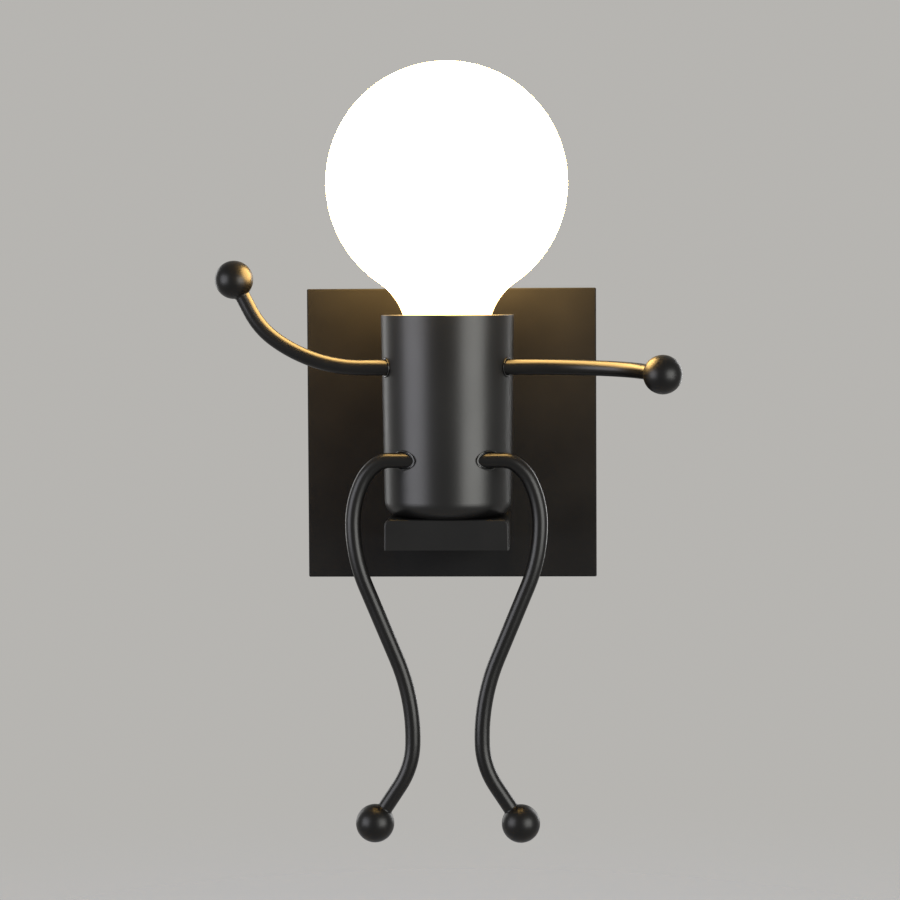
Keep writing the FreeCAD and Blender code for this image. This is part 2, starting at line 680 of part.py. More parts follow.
def bulb_cap():
    inner = BULB_CAP_R - BULB_CAP_SHEET
    return turned([(BULB_CAP_R, BULB_CAP_BOTTOM_Z + 1.5), (BULB_CAP_R, BULB_CAP_TOP_Z),
                   (inner, BULB_CAP_TOP_Z), (inner, BULB_CAP_BOTTOM_Z + 1.7),
                   (9.0, BULB_CAP_BOTTOM_Z + 0.35), (9.0, BULB_CAP_BOTTOM_Z)])


def bulb_insulator():
    return turned([(0, BULB_TIP_Z + 1.5), (4.6, BULB_TIP_Z + 1.5), (9.0, BULB_CAP_BOTTOM_Z),
                   (9.0, BULB_CAP_BOTTOM_Z + 0.35), (9.0, BULB_CAP_BOTTOM_Z + 1.2), (0, BULB_CAP_BOTTOM_Z + 1.2)])


def bulb_contact():
    return turned([(0, BULB_TIP_Z), (3.2, BULB_TIP_Z), (4.4, BULB_TIP_Z + 1.5, 4.1, BULB_TIP_Z + 0.5),
                   (0, BULB_TIP_Z + 1.5)])


def bulb_stem():
    """Glass stem: a flared foot in the neck, and a thin post up to the middle of the globe."""
    foot_r = BULB_CAP_R - BULB_CAP_SHEET - GLASS_T - 0.1
    base = BULB_CAP_TOP_Z - 3
    post_r = 1.8
    diagonal = post_r * math.sqrt(0.5)
    return turned([(0, base), (foot_r, base), (foot_r, base + 1.2), (3.4, base + 12, 5.0, base + 5),
                   (3.4, base + 24), (post_r, base + 27), (post_r, GLOBE_Z),
                   (0, GLOBE_Z + post_r, diagonal, GLOBE_Z + diagonal)])


def filament_ends(number):
    turn = 2 * math.pi * number / FILAMENT_COUNT
    low = V(FILAMENT_LOW_R * math.cos(turn), AXIS_Y + FILAMENT_LOW_R * math.sin(turn), GLOBE_Z - FILAMENT_DROP)
    lean = turn + FILAMENT_LEAN
    high = V(FILAMENT_HIGH_R * math.cos(lean), AXIS_Y + FILAMENT_HIGH_R * math.sin(lean), GLOBE_Z + FILAMENT_RISE)
    return low, high


def led_filaments():
    return [rod_between(*filament_ends(number), FILAMENT_R) for number in range(FILAMENT_COUNT)]


def filament_wires():
    """Support wires: from the post to the foot and to the head of each filament."""
    wires = []
    for number in range(FILAMENT_COUNT):
        low, high = filament_ends(number)
        along = (high - low).normalize()
        for end, post_z in ((low + along * 1.5, low.z - 5), (high - along * 1.5, GLOBE_Z - 2.5)):
            flat = V(end.x, end.y - AXIS_Y, 0).normalize()
            post = V(0, AXIS_Y, post_z) + flat * 2.2
            stop = end - flat * (FILAMENT_R + 2 * FILAMENT_WIRE_R)
            wires.append(rod_between(post, stop, FILAMENT_WIRE_R))
    return wires


# Limbs

def limb_root(side, forward, height, shoulder_x, bush_x):
    """Places on one limb's root axis, from the shoulder seat inwards."""
    def at(x):
        return V(side * x, AXIS_Y - forward, height)
    washer_x = bush_x - LIMB_WASHER_T
    clip_x = washer_x - LIMB_CLIP_T
    return {"shoulder": at(shoulder_x), "bush": at(bush_x), "washer": at(washer_x), "clip": at(clip_x),
            "tail": at(clip_x - SPIGOT_TAIL), "out": V(side, 0, 0)}


def spigot(root):
    pin = rod_between(root["tail"], root["shoulder"], SPIGOT_R)
    groove = rod_between(root["clip"], root["washer"], SPIGOT_R + 1)
    core = rod_between(root["clip"], root["washer"], CLIP_GROOVE_R)
    return pin.cut(groove).fuse(core)


def bush(root):
    """Steel bush welded inside the cup: its outer end follows the curved wall."""
    out = root["out"]
    blank = Part.makeCylinder(BUSH_R, 30, root["bush"], out)
    blank = blank.common(cup_hollow())
    bore = Part.makeCylinder(SPIGOT_R + FIT_GAP, 40, root["bush"] - out, out)
    counterbore = Part.makeCylinder(ROD_R + FIT_GAP, 40, root["shoulder"], out)
    return blank.cut(bore).cut(counterbore)


def limb_washer(root):
    return tube_between(root["washer"], root["bush"], LIMB_CLIP_R, SPIGOT_R + FIT_GAP)


def limb_clip(root):
    """Open retaining ring that snaps into the spigot's groove."""
    clip = tube_between(root["clip"], root["washer"], LIMB_CLIP_R, CLIP_GROOVE_R)
    centre = root["clip"]
    gap = box(centre.x - 3, centre.x + 3, centre.y - 1.5, centre.y + 1.5, centre.z, centre.z + 6)
    return clip.cut(gap)


def ball_end(centre, heading):
    ball = Part.makeSphere(BALL_R, centre, heading)
    mouth = centre - heading * BALL_R * 1.2
    seat = centre - heading * (BALL_R - BALL_SOCKET_DEPTH)
    return ball.cut(rod_between(mouth, seat, ROD_R))


def limb(root, moves, side_way):
    """A bent rod with its spigot, and the ball on its far end."""
    path, tip, heading = walked_path(root["shoulder"], root["out"], side_way, moves)
    rod = swept(path, root["shoulder"], root["out"], ROD_R)
    rod = rod.fuse(spigot(root)).removeSplitter()
    centre = tip + heading * (BALL_R - BALL_SOCKET_DEPTH)
    return rod, ball_end(centre, heading)


def arm_moves():
    to_ball = 14.0 - (BALL_R - BALL_SOCKET_DEPTH)
    return [("run", 33.0 - ARM_SHOULDER_X), ("bend", 58.0, 36.0), ("bend", 32.0, 26.5), ("run", to_ball)]


def leg_moves():
    to_ball = 17.5 - (BALL_R - BALL_SOCKET_DEPTH)
    return [("run", 22.0 - LEG_SHOULDER_X), ("bend", 9.0, 36.0), ("bend", 17.0, 28.0), ("bend", 38.0, 26.0),
            ("bend", 64.0, 22.7), ("run", 30.4), ("bend", 80.0, -24.7), ("bend", 32.0, -31.5), ("run", to_ball)]


def arm_root(side):
    return limb_root(side, ARM_FORWARD, ARM_Z, ARM_SHOULDER_X, ARM_BUSH_X)


def leg_root(side):
    return limb_root(side, LEG_FORWARD, LEG_Z, LEG_SHOULDER_X, LEG_BUSH_X)


# Leads

def live_route():
    side = -LEAD_SIDE
    front = AXIS_Y - LEAD_FRONT
    return [V(-HOLDER_TERMINAL_X, AXIS_Y, CORE_BOTTOM_Z - 1.5), V(-HOLDER_TERMINAL_X, AXIS_Y, -8.0),
            V(side, front, -15.5), V(side, front, LEAD_RUN_Z), V(side, -10.0, LEAD_RUN_Z),
            V(-WAY_PITCH, WAY_Y, -20.0), V(-WAY_PITCH, WAY_Y, BLOCK_BOTTOM_Z + 5)]


def neutral_route():
    side = LEAD_SIDE
    front = AXIS_Y - LEAD_FRONT
    return [V(HOLDER_TERMINAL_X, AXIS_Y, CORE_BOTTOM_Z - 1.5), V(HOLDER_TERMINAL_X, AXIS_Y, -8.0),
            V(side, front, -15.5), V(side, front, LEAD_RUN_Z), V(side, -10.0, LEAD_RUN_Z),
            V(0, WAY_Y, -20.0), V(0, WAY_Y, BLOCK_BOTTOM_Z + 5)]


def earth_route():
    return [V(WAY_PITCH, WAY_Y, BLOCK_BOTTOM_Z + 5), V(WAY_PITCH, WAY_Y, -24.0),
            V(EARTH_X, -3.1, -24.0), V(EARTH_X, -3.1, -6.0)]


def lead(name, route):
    path, radii = tangent_path(route)
    tube = swept(path, route[0], route[1] - route[0], LEAD_R)
    expected = math.pi * LEAD_R ** 2 * path.Length
    print(name, "length", round(path.Length, 1), "bend radii", radii,
          "volume share", round(tube.Volume / expected, 4))
    return tube


# Writing out

def write(name, shape):
    solids = shape if isinstance(shape, list) else [shape]
    flat = []
    for item in solids:
        flat.extend(item.Solids)
    if not flat or not all(solid.isValid() for solid in flat):
        raise ValueError("bad solid in " + name)
    kept = flat[0] if len(flat) == 1 else Part.makeCompound(flat)
    kept.exportStep("parts/" + name + ".step")
    print(name, len(flat), round(sum(solid.Volume for solid in flat), 1))


def build():
    os.makedirs("parts", exist_ok=True)
    write("canopy", canopy())
    write("canopy_screws", canopy_screws())
    write("wall_strap", wall_strap())
    write("earth_ring", earth_ring())
    write("earth_screw", earth_screw())
    write("terminal_block", terminal_block())
    write("terminal_clamps", terminal_clamps())
    write("terminal_screws", terminal_screws())
    write("block_screws", block_screws())
    write("seat_bracket", seat_bracket())
    write("seat_cover", seat_cover())
    write("seat_cover_screws", seat_cover_screws())
    write("seat_screws", seat_screws())
    write("seat_nuts", seat_nuts())
    write("lead_grommet", lead_grommet())
    write("nipple", nipple())
    lower_washer, lower_nut = washer_and_nut(CUP_FLOOR_Z - SEAT_SHEET, -1)
    write("lower_washer", lower_washer)
    write("lower_nut", lower_nut)
    upper_nut = washer_and_nut(CUP_FLOOR_Z + CUP_SHEET, 1)[1]
    write("lock_washer", toothed_washer(CUP_FLOOR_Z + CUP_SHEET))
    write("upper_nut", upper_nut)
    write("cup", cup())
    write("holder_skirt", holder_skirt())
    write("holder_cap", holder_cap())
    write("holder_core", holder_core())
    write("screw_shell", screw_shell())
    write("centre_contact", centre_contact())
    write("holder_terminals", holder_terminals())
    write("holder_terminal_screws", holder_terminal_screws())
    write("bulb_glass", bulb_glass())
    write("bulb_cap", bulb_cap())
    write("bulb_insulator", bulb_insulator())
    write("bulb_contact", bulb_contact())
    write("bulb_stem", bulb_stem())
    write("led_filaments", led_filaments())
    write("filament_wires", filament_wires())
    washers = []
    for side, hand_name in ((-1, "left"), (1, "right")):
        root = arm_root(side)
        rod, ball = limb(root, arm_moves(), Z_AXIS)
        clip = limb_clip(root)
        if side == 1:
            for piece in (rod, ball, clip):
                piece.rotate(root["shoulder"], X_AXIS, RIGHT_ARM_TURN)
        write(hand_name + "_arm_rod", rod)
        write(hand_name + "_hand", ball)
        write(hand_name + "_arm_clip", clip)
        write(hand_name + "_shoulder_bush", bush(root))
        washers.append(limb_washer(root))
        root = leg_root(side)
        rod, ball = limb(root, leg_moves(), Z_AXIS * -1)
        write(hand_name + "_leg_rod", rod)
        write(hand_name + "_foot", ball)
        write(hand_name + "_leg_clip", limb_clip(root))
        write(hand_name + "_hip_bush", bush(root))
        washers.append(limb_washer(root))
    write("limb_washers", washers)
    write("live_lead", lead("live_lead", live_route()))
    write("neutral_lead", lead("neutral_lead", neutral_route()))
    write("earth_lead", lead("earth_lead", earth_route()))


build()
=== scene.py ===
import bmesh
import bpy
import math
from mathutils import Matrix, Vector


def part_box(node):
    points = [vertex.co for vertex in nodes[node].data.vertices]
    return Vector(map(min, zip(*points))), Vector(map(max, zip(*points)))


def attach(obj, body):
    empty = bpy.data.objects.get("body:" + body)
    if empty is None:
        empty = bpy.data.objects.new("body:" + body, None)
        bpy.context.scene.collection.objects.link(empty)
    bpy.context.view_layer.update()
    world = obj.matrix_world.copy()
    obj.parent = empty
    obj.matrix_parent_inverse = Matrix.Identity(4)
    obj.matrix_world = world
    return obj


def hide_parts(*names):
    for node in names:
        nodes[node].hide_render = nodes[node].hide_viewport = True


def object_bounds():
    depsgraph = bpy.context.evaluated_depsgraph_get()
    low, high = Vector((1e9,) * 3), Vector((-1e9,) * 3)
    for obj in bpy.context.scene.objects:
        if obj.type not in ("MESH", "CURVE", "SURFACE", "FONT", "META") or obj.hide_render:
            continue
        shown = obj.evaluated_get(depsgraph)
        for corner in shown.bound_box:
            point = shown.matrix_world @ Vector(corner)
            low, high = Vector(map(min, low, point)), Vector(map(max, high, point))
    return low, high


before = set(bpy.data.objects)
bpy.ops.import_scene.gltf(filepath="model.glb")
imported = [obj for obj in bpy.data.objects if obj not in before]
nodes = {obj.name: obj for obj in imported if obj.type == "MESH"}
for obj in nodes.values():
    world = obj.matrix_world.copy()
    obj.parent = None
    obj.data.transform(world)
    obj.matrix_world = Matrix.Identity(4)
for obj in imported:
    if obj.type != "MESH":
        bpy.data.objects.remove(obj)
cad_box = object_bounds()


# Studio
# A pale floor below the feet fades out into a pale surround. Two wide soft boxes stand beside
# the camera, and two narrow ones behind light the edges. The camera stands a little above the
# cup's rim and a little to its right.

CAMERA_PLACE = (0.0461, -1.16, 0.0551)
CAMERA_TURN = math.radians(2.36)
CAMERA_TILT = math.radians(86.88)
CAMERA_ROLL = math.radians(-0.3)
camera_data = bpy.data.cameras.new("camera")
camera_data.sensor_width = 36
camera_data.lens = 111.6
camera_data.clip_start = 0.01
camera = bpy.data.objects.new("camera", camera_data)
camera.matrix_world = (Matrix.Translation(CAMERA_PLACE)
                       @ Matrix.Rotation(CAMERA_TURN, 4, "Z")
                       @ Matrix.Rotation(CAMERA_TILT, 4, "X")
                       @ Matrix.Rotation(CAMERA_ROLL, 4, "Z"))
bpy.context.scene.collection.objects.link(camera)
bpy.context.scene.camera = camera
bpy.context.scene.view_settings.view_transform = "Standard"


def joined(owner, from_socket, to_socket):
    owner.node_tree.links.new(from_socket, to_socket)


def add_node(owner, kind, **settings):
    node = owner.node_tree.nodes.new(kind)
    for name, value in settings.items():
        setattr(node, name, value)
    return node


PALE = (0.47, 0.46, 0.44, 1)
FILL_STRENGTH = 0.45
surround = bpy.data.worlds.new("surround")
surround.use_nodes = True
bpy.context.scene.world = surround
surround.node_tree.nodes.clear()
path = add_node(surround, "ShaderNodeLightPath")
seen_or_mirrored = add_node(surround, "ShaderNodeMath", operation="ADD")
joined(surround, path.outputs["Is Camera Ray"], seen_or_mirrored.inputs[0])
joined(surround, path.outputs["Is Glossy Ray"], seen_or_mirrored.inputs[1])
seen_at_all = add_node(surround, "ShaderNodeMath", operation="ADD", use_clamp=True)
joined(surround, seen_or_mirrored.outputs[0], seen_at_all.inputs[0])
joined(surround, path.outputs["Is Transmission Ray"], seen_at_all.inputs[1])
backdrop = add_node(surround, "ShaderNodeBackground")
backdrop.inputs["Color"].default_value = PALE
fill = add_node(surround, "ShaderNodeBackground")
fill.inputs["Color"].default_value = (1, 1, 1, 1)
fill.inputs["Strength"].default_value = FILL_STRENGTH
chosen = add_node(surround, "ShaderNodeMixShader")
joined(surround, seen_at_all.outputs[0], chosen.inputs["Fac"])
joined(surround, fill.outputs[0], chosen.inputs[1])
joined(surround, backdrop.outputs[0], chosen.inputs[2])
surround_output = add_node(surround, "ShaderNodeOutputWorld")
joined(surround, chosen.outputs[0], surround_output.inputs["Surface"])

FLOOR_DROP = 0.09
FLOOR_HALF = 0.65
FLOOR_TONE = (0.50, 0.51, 0.53, 1)
FADE_START = 0.12
FADE_END = 0.60
floor_z = cad_box[0].z - FLOOR_DROP
floor_mesh = bpy.data.meshes.new("floor")
floor_mesh.from_pydata([(-FLOOR_HALF, -FLOOR_HALF, floor_z), (FLOOR_HALF, -FLOOR_HALF, floor_z),
                        (FLOOR_HALF, FLOOR_HALF, floor_z), (-FLOOR_HALF, FLOOR_HALF, floor_z)],
                       [], [(0, 1, 2, 3)])
floor = bpy.data.objects.new("floor", floor_mesh)
bpy.context.scene.collection.objects.link(floor)
floor_finish = bpy.data.materials.new("pale_floor")
floor_finish.use_nodes = True
floor_shader = floor_finish.node_tree.nodes["Principled BSDF"]
floor_shader.inputs["Base Color"].default_value = FLOOR_TONE
floor_shader.inputs["Roughness"].default_value = 0.9
floor_shader.inputs["Specular IOR Level"].default_value = 0.0
floor_place = add_node(floor_finish, "ShaderNodeTexCoord")
floor_reach = add_node(floor_finish, "ShaderNodeVectorMath", operation="LENGTH")
joined(floor_finish, floor_place.outputs["Object"], floor_reach.inputs[0])
floor_fade = add_node(floor_finish, "ShaderNodeMapRange", interpolation_type="SMOOTHSTEP")
floor_fade.inputs["From Min"].default_value = FADE_START
floor_fade.inputs["From Max"].default_value = FADE_END
floor_fade.inputs["To Min"].default_value = 1.0
floor_fade.inputs["To Max"].default_value = 0.0
joined(floor_finish, floor_reach.outputs["Value"], floor_fade.inputs["Value"])
floor_side = add_node(floor_finish, "ShaderNodeNewGeometry")
seen_from_above = add_node(floor_finish, "ShaderNodeMath", operation="SUBTRACT")
seen_from_above.inputs[0].default_value = 1.0
joined(floor_finish, floor_side.outputs["Backfacing"], seen_from_above.inputs[1])
floor_cover = add_node(floor_finish, "ShaderNodeMath", operation="MULTIPLY")
joined(floor_finish, floor_fade.outputs["Result"], floor_cover.inputs[0])
joined(floor_finish, seen_from_above.outputs[0], floor_cover.inputs[1])
joined(floor_finish, floor_cover.outputs[0], floor_shader.inputs["Alpha"])
floor_mesh.materials.append(floor_finish)

LAMP_DISTANCE = 1.15
LAMP_TALL = 0.75
LAMP_AIM = Vector((0, -0.06, 0.0))
# name, degrees round from the front, height for each unit of distance, watts, width, tint
LAMPS = [("right_box", 45, 0.05, 17.0, 0.82, (1.0, 1.0, 0.96)),
         ("left_box", -55, 0.08, 13.0, 0.82, (0.94, 0.94, 1.0)),
         ("right_rim", 146, 0.10, 3.6, 0.40, (1.0, 1.0, 1.0)),
         ("left_rim", -138, 0.10, 2.5, 0.40, (1.0, 1.0, 1.0))]
for name, azimuth, rise, power, width, tint in LAMPS:
    lamp_data = bpy.data.lights.new(name, "AREA")
    lamp_data.shape = "RECTANGLE"
    lamp_data.size = width
    lamp_data.size_y = LAMP_TALL
    lamp_data.energy = power
    lamp_data.color = tint
    lamp = bpy.data.objects.new(name, lamp_data)
    turn = math.radians(azimuth)
    lamp.location = Vector((math.sin(turn), -math.cos(turn), rise)) * LAMP_DISTANCE
    lamp.rotation_euler = (LAMP_AIM - lamp.location).to_track_quat("-Z", "Y").to_euler()
    bpy.context.scene.collection.objects.link(lamp)


# Canopy
# A square box pressed from sheet steel and powder coated satin black, open at the back.
# A countersunk crosshead screw in each side holds it to the strap's ears.

def new_finish(name):
    """A new material, its shader, and the place of each point on the piece."""
    finish = bpy.data.materials.new(name)
    finish.use_nodes = True
    place = add_node(finish, "ShaderNodeTexCoord")
    return finish, finish.node_tree.nodes["Principled BSDF"], place.outputs["Object"]


def cloud_over(finish, place, scale, detail=2, distortion=0):
    """Soft noise over the piece."""
    noise = add_node(finish, "ShaderNodeTexNoise")
    noise.inputs["Scale"].default_value = scale
    noise.inputs["Detail"].default_value = detail
    noise.inputs["Distortion"].default_value = distortion
    joined(finish, place, noise.inputs["Vector"])
    return noise.outputs["Fac"]


def drifting_colour(finish, shader, cloud, low, high, low_at=0.0, high_at=1.0):
    """Colour that goes from low to high with the cloud."""
    ramp = add_node(finish, "ShaderNodeValToRGB")
    ramp.color_ramp.elements[0].position = low_at
    ramp.color_ramp.elements[0].color = (*low, 1)
    ramp.color_ramp.elements[1].position = high_at
    ramp.color_ramp.elements[1].color = (*high, 1)
    joined(finish, cloud, ramp.inputs["Fac"])
    joined(finish, ramp.outputs["Color"], shader.inputs["Base Color"])
    return ramp.outputs["Color"]


def drifting_gloss(finish, shader, cloud, low, high):
    """Roughness that goes from low to high with the cloud."""
    gloss = add_node(finish, "ShaderNodeMapRange")
    gloss.inputs["To Min"].default_value = low
    gloss.inputs["To Max"].default_value = high
    joined(finish, cloud, gloss.inputs["Value"])
    joined(finish, gloss.outputs["Result"], shader.inputs["Roughness"])


def fine_relief(finish, shader, cloud, depth):
    """Bumps as deep as depth, in metres, where the cloud is high."""
    bump = add_node(finish, "ShaderNodeBump")
    bump.inputs["Distance"].default_value = depth
    joined(finish, cloud, bump.inputs["Height"])
    joined(finish, bump.outputs["Normal"], shader.inputs["Normal"])


def powder_coat(name, tone, roughness, shine, grain, depth):
    """Black polyester powder: a fine orange peel, with a slow drift in tone and in gloss."""
    paint, shader, place = new_finish(name)
    shader.inputs["Specular IOR Level"].default_value = shine
    cloud = cloud_over(paint, place, scale=38, detail=4)
    thin = (tone * 0.82, tone * 0.82, tone * 0.86)
    thick = (tone * 1.22, tone * 1.20, tone * 1.18)
    drifting_colour(paint, shader, cloud, thin, thick, low_at=0.30, high_at=0.72)
    drifting_gloss(paint, shader, cloud, roughness - 0.045, roughness + 0.045)
    fine_relief(paint, shader, cloud_over(paint, place, scale=grain), depth)
    return paint


def finish_nodes(material, *names):
    for name in names:
        for slot in nodes[name].material_slots:
            slot.material = material


SHARP_EDGE = math.radians(38)


def new_piece(name, verts, faces, material, body, slot_name):
    """A mesh piece with smooth faces that rides on a body."""
    mesh = bpy.data.meshes.new(name)
    mesh.from_pydata([tuple(vert) for vert in verts], [], faces)
    mesh.materials.append(material)
    mesh.polygons.foreach_set("use_smooth", [True] * len(mesh.polygons))
    tidy = bmesh.new()
    tidy.from_mesh(mesh)
    bmesh.ops.remove_doubles(tidy, verts=tidy.verts, dist=1e-7)
    bmesh.ops.recalc_face_normals(tidy, faces=tidy.faces)
    tidy.to_mesh(mesh)
    tidy.free()
    mesh.set_sharp_from_angle(angle=SHARP_EDGE)
    piece = bpy.data.objects.new(name, mesh)
    bpy.context.scene.collection.objects.link(piece)
    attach(piece, body)
    return piece


def merged(parts):
    verts = []
    faces = []
    for part_verts, part_faces in parts:
        start = len(verts)
        verts.extend(part_verts)
        faces.extend(tuple(index + start for index in face) for face in part_faces)
    return verts, faces


def skin_over_rings(rings, around, closed=False):
    """Four-sided faces from each ring of points to the next, and back to the first if closed."""
    faces = []
    for ring in range(rings if closed else rings - 1):
        low = ring * around
        high = (ring + 1) % rings * around
        for step in range(around):
            after = (step + 1) % around
            faces.append((low + step, low + after, high + after, high + step))
    return faces


def crosshead_screw(face_centre, inward, head_r, shank_r, length, recess_r, recess_w, recess_depth):
    """Countersunk screw: a flat head with a cross recess, a cone and a plain shank."""
    inward = Vector(inward).normalized()
    side = inward.orthogonal().normalized()
    up = inward.cross(side)
    around = 48
    head_rings = 14
    recess_taper = 0.55
    tip_length = 0.0006
    tip_share = 0.7
    verts = []
    for ring in range(head_rings + 1):
        radius = head_r * ring / head_rings
        for step in range(around):
            turn = 2 * math.pi * step / around
            x = radius * math.cos(turn)
            y = radius * math.sin(turn)
            short = min(abs(x), abs(y))
            long = max(abs(x), abs(y))
            in_cross = short < recess_w / 2 and long < recess_r
            depth = recess_depth * (1 - recess_taper * long / recess_r) if in_cross else 0
            verts.append(Vector(face_centre) + side * x + up * y + inward * depth)
    shank = ((shank_r, head_r - shank_r), (shank_r, length - tip_length),
             (shank_r * tip_share, length))
    for radius, depth in shank:
        for step in range(around):
            turn = 2 * math.pi * step / around
            x = radius * math.cos(turn)
            y = radius * math.sin(turn)
            verts.append(Vector(face_centre) + side * x + up * y + inward * depth)
    rings = head_rings + 1 + len(shank)
    faces = skin_over_rings(rings, around)
    last = (rings - 1) * around
    faces.append(tuple(last + step for step in range(around)))
    return verts, faces


CANOPY_HALF = 0.059
CANOPY_SCREW_Y = -0.009
SCREW_SINK = 0.0001
canopy_paint = powder_coat("canopy_paint", tone=0.0085, roughness=0.50, shine=0.03,
                           grain=1300, depth=0.000012)
finish_nodes(canopy_paint, "canopy")
side_screws = []
for side in (-1, 1):
    head = (side * (CANOPY_HALF - SCREW_SINK), CANOPY_SCREW_Y, 0)
    side_screws.append(crosshead_screw(head, (-side, 0, 0),
                                       head_r=0.0030, shank_r=0.0020, length=0.008,
                                       recess_r=0.0017, recess_w=0.00075, recess_depth=0.0013))
screws = new_piece("canopy_side_screws", *merged(side_screws), canopy_paint, "light", "black_paint")
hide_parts("canopy_screws")


# Wall strap
# A bar of zinc-plated strip steel, punched and folded, that carries the light on two screws
# through its slots. The earth ring, its screw and the terminal block sit on it.

def drawn_lines(finish, place, stretch, detail=2):
    """Noise pulled out into lines, with its scale along each axis."""
    mapping = add_node(finish, "ShaderNodeMapping")
    mapping.inputs["Scale"].default_value = stretch
    joined(finish, place, mapping.inputs["Vector"])
    return cloud_over(finish, mapping.outputs["Vector"], scale=1.0, detail=detail)


def bright_zinc(name, tone, roughness):
    """Bright zinc plate: fine rolling lines under a faintly yellow and blue passivated skin."""
    plate, shader, place = new_finish(name)
    shader.inputs["Metallic"].default_value = 1.0
    skin = cloud_over(plate, place, scale=120, detail=5)
    blue = (tone * 0.94, tone * 0.97, tone * 1.03)
    yellow = (tone * 1.04, tone * 1.02, tone * 0.94)
    drifting_colour(plate, shader, skin, blue, yellow, low_at=0.35, high_at=0.68)
    lines = drawn_lines(plate, place, stretch=(60, 1500, 1500), detail=3)
    drifting_gloss(plate, shader, lines, roughness - 0.07, roughness + 0.09)
    fine_relief(plate, shader, lines, depth=0.000006)
    return plate


zinc = bright_zinc("zinc_plate", tone=0.62, roughness=0.30)
finish_nodes(zinc, "wall_strap", "earth_screw", "block_screws")


# Terminal block
# A three-way block moulded in white polyamide, with a brass sleeve and two slotted brass
# screws in each way. Two small screws hold it to the strap's tongue.

def moulded_nylon(name, tint, roughness):
    """Moulded nylon: slightly see-through in the thin parts, with a fine spark-eroded grain."""
    plastic, shader, place = new_finish(name)
    shader.inputs["Subsurface Weight"].default_value = 0.15
    shader.inputs["Subsurface Scale"].default_value = 0.0008
    shader.inputs["Roughness"].default_value = roughness
    cloud = cloud_over(plastic, place, scale=90)
    drifting_colour(plastic, shader, cloud, (tint[0] * 0.93, tint[1] * 0.92, tint[2] * 0.89), tint)
    fine_relief(plastic, shader, cloud_over(plastic, place, scale=2600), depth=0.000008)
    return plastic


def plain_brass(name, roughness):
    """Turned and pressed brass, a little browner where it has been handled."""
    metal, shader, place = new_finish(name)
    shader.inputs["Metallic"].default_value = 1.0
    tarnish = cloud_over(metal, place, scale=260, detail=5)
    drifting_colour(metal, shader, tarnish, (0.55, 0.36, 0.15), (0.80, 0.59, 0.28),
                    low_at=0.3, high_at=0.62)
    drifting_gloss(metal, shader, tarnish, roughness + 0.10, roughness - 0.04)
    return metal


white_nylon = moulded_nylon("white_nylon", tint=(0.82, 0.81, 0.76), roughness=0.42)
finish_nodes(white_nylon, "terminal_block")
brass = plain_brass("terminal_brass", roughness=0.24)
finish_nodes(brass, "terminal_clamps", "terminal_screws", "earth_ring")


# Leads
# Three stranded copper leads in extruded insulation: brown and blue from the block through
# the grommet and the nipple to the lampholder, green and yellow from the block to the strap.

STRIPE_SIDE = (0.62, -0.62, 0.48)
STRIPE_EDGE = 0.12


def extruded_insulation(name, tint, stripe=None):
    """Smooth soft plastic with a faint mottle; the earth lead has a second colour along it."""
    plastic, shader, place = new_finish(name)
    shader.inputs["Roughness"].default_value = 0.38
    wear = cloud_over(plastic, place, scale=300, detail=4)
    dark = (tint[0] * 0.80, tint[1] * 0.80, tint[2] * 0.80)
    light = (tint[0] * 1.12, tint[1] * 1.12, tint[2] * 1.12)
    colour = drifting_colour(plastic, shader, wear, dark, light)
    if stripe is None:
        return plastic
    surface_way = add_node(plastic, "ShaderNodeNewGeometry")
    split = add_node(plastic, "ShaderNodeVectorMath", operation="DOT_PRODUCT")
    split.inputs[1].default_value = STRIPE_SIDE
    joined(plastic, surface_way.outputs["Normal"], split.inputs[0])
    edge = add_node(plastic, "ShaderNodeMath", operation="GREATER_THAN")
    edge.inputs[1].default_value = STRIPE_EDGE
    joined(plastic, split.outputs["Value"], edge.inputs[0])
    two_tone = add_node(plastic, "ShaderNodeMix", data_type="RGBA")
    two_tone.inputs["B"].default_value = (*stripe, 1)
    joined(plastic, edge.outputs[0], two_tone.inputs["Factor"])
    joined(plastic, colour, two_tone.inputs["A"])
    joined(plastic, two_tone.outputs["Result"], shader.inputs["Base Color"])
    return plastic


finish_nodes(extruded_insulation("brown_insulation", (0.10, 0.042, 0.020)), "live_lead")
finish_nodes(extruded_insulation("blue_insulation", (0.018, 0.11, 0.40)), "neutral_lead")
finish_nodes(extruded_insulation("earth_insulation", (0.05, 0.28, 0.06), stripe=(0.72, 0.60, 0.05)),
             "earth_lead")


# Seat
# A box folded from sheet steel with rounded top corners, powder coated like the canopy and
# screwed to its face. A flat cover on two countersunk screws closes it from below.

seat_paint = powder_coat("seat_paint", tone=0.004, roughness=0.42, shine=0.20,
                         grain=1300, depth=0.000012)
finish_nodes(seat_paint, "seat_bracket", "seat_cover")
SEAT_COVER_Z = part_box("seat_cover")[0].z
POST_PLACES = [(-0.017, -0.069), (0.017, -0.069)]
cover_screws = []
for x, y in POST_PLACES:
    cover_screws.append(crosshead_screw((x, y, SEAT_COVER_Z + SCREW_SINK), (0, 0, 1),
                                        head_r=0.0025, shank_r=0.0015, length=0.0065,
                                        recess_r=0.0014, recess_w=0.00065, recess_depth=0.0011))
screws = new_piece("seat_cover_crossheads", *merged(cover_screws), seat_paint, "light",
                   "black_paint")
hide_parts("seat_cover_screws")
finish_nodes(zinc, "seat_screws", "seat_nuts")


def moulded_rubber(name):
    """Matt black rubber with a dusty bloom."""
    rubber, shader, place = new_finish(name)
    shader.inputs["Roughness"].default_value = 0.82
    bloom = cloud_over(rubber, place, scale=400, detail=6)
    drifting_colour(rubber, shader, bloom, (0.012, 0.012, 0.012), (0.045, 0.044, 0.042),
                    low_at=0.4, high_at=0.8)
    return rubber


